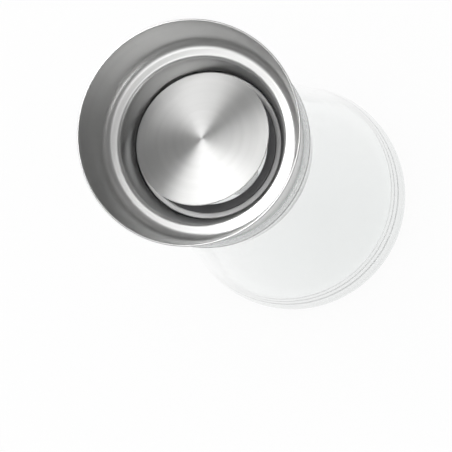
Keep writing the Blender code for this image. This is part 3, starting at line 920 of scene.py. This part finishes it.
class CARAFE_OT_stage(Operator):
    """Set the pale floor, the soft light and the camera"""

    bl_idname = "carafe.stage"
    bl_label = "Stage"

    def execute(self, context):
        floor_size = 6
        below = 0.2 * MM
        deselect()
        bpy.ops.mesh.primitive_plane_add(size=floor_size, location=(0, 0, -below))
        floor = context.object
        floor.name = "floor"
        floor.data.materials.append(floor_material(context.scene.carafe_colours.floor))
        world_light(context.scene)
        photo_camera(context.scene)
        context.scene.view_settings.view_transform = "Standard"
        glass_paths(context.scene.cycles)
        return {"FINISHED"}


def glass_paths(cycles):
    """Light runs a long way inside the wall of the glass before it leaves."""
    bounces = 48
    cycles.max_bounces = bounces
    cycles.glossy_bounces = bounces
    cycles.transmission_bounces = bounces


def floor_material(base):
    """Matt and pale. The camera and metal see it lifted almost to white, glass a little less.

    The rest is the floor's own shade, which keeps the object's shadow.
    """
    lift = 0.93
    less_in_glass = 0.12
    material, tree, shader = new_material("pale_floor")
    marks = use_group(tree, surface_marks, Vector=place_of(tree), Scale=8.0)
    base_colour = tinted(tree, base, marks.outputs["Cloud"], low=0.995, high=1.005)
    tree.links.new(base_colour, shader.inputs["Base Color"])
    shader.inputs["Roughness"].default_value = 0.9
    rays = tree.nodes.new("ShaderNodeLightPath").outputs
    seen = math(tree, "MAXIMUM", rays["Is Camera Ray"], rays["Is Glossy Ray"])
    in_glass = math(tree, "MULTIPLY", rays["Is Transmission Ray"], less_in_glass)
    white = add(tree, "ShaderNodeEmission", Color=(1.0, 1.0, 1.0, 1.0), Strength=1.0)
    share = math(tree, "SUBTRACT", math(tree, "MULTIPLY", seen, lift), in_glass)
    both = add(tree, "ShaderNodeMixShader", _0=share, _1=shader.outputs[0], _2=white.outputs[0])
    tree.links.new(both.outputs[0], tree.nodes["Material Output"].inputs["Surface"])
    return material


def facing(tree, look, direction):
    """How far the looked-at direction agrees with another, from -1 to 1."""
    return add(tree, "ShaderNodeVectorMath", {"operation": "DOT_PRODUCT"}, _0=look,
               _1=direction).outputs["Value"]


def falling(tree, value, start, end, level=1.0):
    """A level up to the start, which then falls softly to nothing at the end."""
    return add(tree, "ShaderNodeMapRange", {"interpolation_type": "SMOOTHSTEP"}, Value=value,
               From_Min=start, From_Max=end, To_Min=level, To_Max=0.0).outputs[0]


def soft_box(tree, look, azimuth, elevation, half, blur, strength):
    """A round, soft patch of sky. Its direction, half width and blur are in degrees."""
    flat = cos(radians(elevation))
    to_box = (flat * cos(radians(azimuth)), flat * sin(radians(azimuth)), sin(radians(elevation)))
    away = math(tree, "ARCCOSINE", facing(tree, look, to_box))
    return falling(tree, away, radians(half), radians(half + blur), level=strength)


def mixed(tree, share, first, second):
    """The first value, and the second one as far as the share goes."""
    return add(tree, "ShaderNodeMix", {"data_type": "FLOAT"}, _0=share, _2=first, _3=second).outputs[0]


def world_light(scene):
    """An even white room. In metal it shows as a dim room with two soft boxes and a darker bar across it.

    Through the glass it is white along the floor and darker overhead, which draws the edges of the glass.
    """
    white = 1.0
    dim = 0.26
    bar_level = 0.4
    across_bar = (0.774, 0.02, 0.633)
    world = bpy.data.worlds.new("studio")
    world.use_nodes = True
    scene.world = world
    tree = world.node_tree
    background = tree.nodes["Background"]
    background.inputs["Color"].default_value = (1.0, 1.0, 1.0, 1.0)
    look = tree.nodes.new("ShaderNodeTexCoord").outputs["Generated"]
    key = soft_box(tree, look, azimuth=203, elevation=44, half=21, blur=9, strength=7.0)
    top = soft_box(tree, look, azimuth=313, elevation=72, half=0, blur=42, strength=1.9)
    boxes = math(tree, "ADD", math(tree, "ADD", key, top), dim)
    off_bar = math(tree, "ABSOLUTE", facing(tree, look, across_bar))
    bar = falling(tree, off_bar, start=0.1, end=0.22)
    room = mixed(tree, bar, boxes, bar_level)
    rise = add(tree, "ShaderNodeSeparateXYZ", Vector=look).outputs["Z"]
    through = add(tree, "ShaderNodeMapRange", Value=rise, From_Min=0.1, From_Max=0.5,
                  To_Min=white, To_Max=0.4).outputs[0]
    rays = tree.nodes.new("ShaderNodeLightPath").outputs
    in_metal = mixed(tree, rays["Is Glossy Ray"], white, room)
    strength = mixed(tree, rays["Is Transmission Ray"], in_metal, through)
    tree.links.new(strength, background.inputs["Strength"])


def photo_camera(scene):
    """Looks down into the collar, a little from the side that lifts.

    The pose was fitted to the ellipses of the rim, throat, lid, collar foot and base. The rim's middle lies
    at rim_in_camera, in units of the rim's radius: right, down and forward.
    """
    sizes = scene.carafe_sizes
    right = Vector((0.5109, 0.8369, -0.1964))
    down = Vector((0.8417, -0.5334, -0.0831))
    rim_in_camera = Vector((-0.3347, -0.8177, 15.654)) * sizes.rim_r
    right.normalize()
    down = (down - right * down.dot(right)).normalized()
    forward = right.cross(down)
    data = bpy.data.cameras.new("photo_camera")
    data.lens = 143.36
    data.sensor_width = 36
    data.clip_start = 0.01
    camera = bpy.data.objects.new("photo_camera", data)
    scene.collection.objects.link(camera)
    turn = Matrix((right, -down, -forward)).transposed()
    rim = Vector((0, 0, sizes.height))
    place = rim - (right * rim_in_camera.x + down * rim_in_camera.y + forward * rim_in_camera.z)
    camera.matrix_world = Matrix.Translation(place) @ turn.to_4x4()
    scene.camera = camera


class CARAFE_PT_panel(Panel):
    """Buttons for the pieces, and the sizes and colours that they use"""

    bl_idname = "CARAFE_PT_panel"
    bl_label = "Glass carafe"
    bl_space_type = "VIEW_3D"
    bl_region_type = "UI"
    bl_category = "Carafe"

    def draw(self, context):
        for operator in OPERATORS:
            self.layout.operator(operator.bl_idname)
        for group in (context.scene.carafe_sizes, context.scene.carafe_colours):
            box = self.layout.box()
            for name in group.__annotations__:
                box.prop(group, name)


OPERATORS = (CARAFE_OT_glass, CARAFE_OT_collar, CARAFE_OT_seals, CARAFE_OT_ring, CARAFE_OT_lid,
             CARAFE_OT_stage)
CLASSES = (CarafeSizes, CarafeColours) + OPERATORS + (CARAFE_PT_panel,)


def register():
    for cls in CLASSES:
        bpy.utils.register_class(cls)
    bpy.types.Scene.carafe_sizes = PointerProperty(type=CarafeSizes)
    bpy.types.Scene.carafe_colours = PointerProperty(type=CarafeColours)


def unregister():
    del bpy.types.Scene.carafe_colours
    del bpy.types.Scene.carafe_sizes
    for cls in reversed(CLASSES):
        bpy.utils.unregister_class(cls)


def main():
    register()
    bpy.ops.carafe.glass()
    bpy.ops.carafe.collar()
    bpy.ops.carafe.seals()
    bpy.ops.carafe.ring()
    bpy.ops.carafe.lid()
    bpy.ops.carafe.stage()


if __name__ == "__main__":
    main()
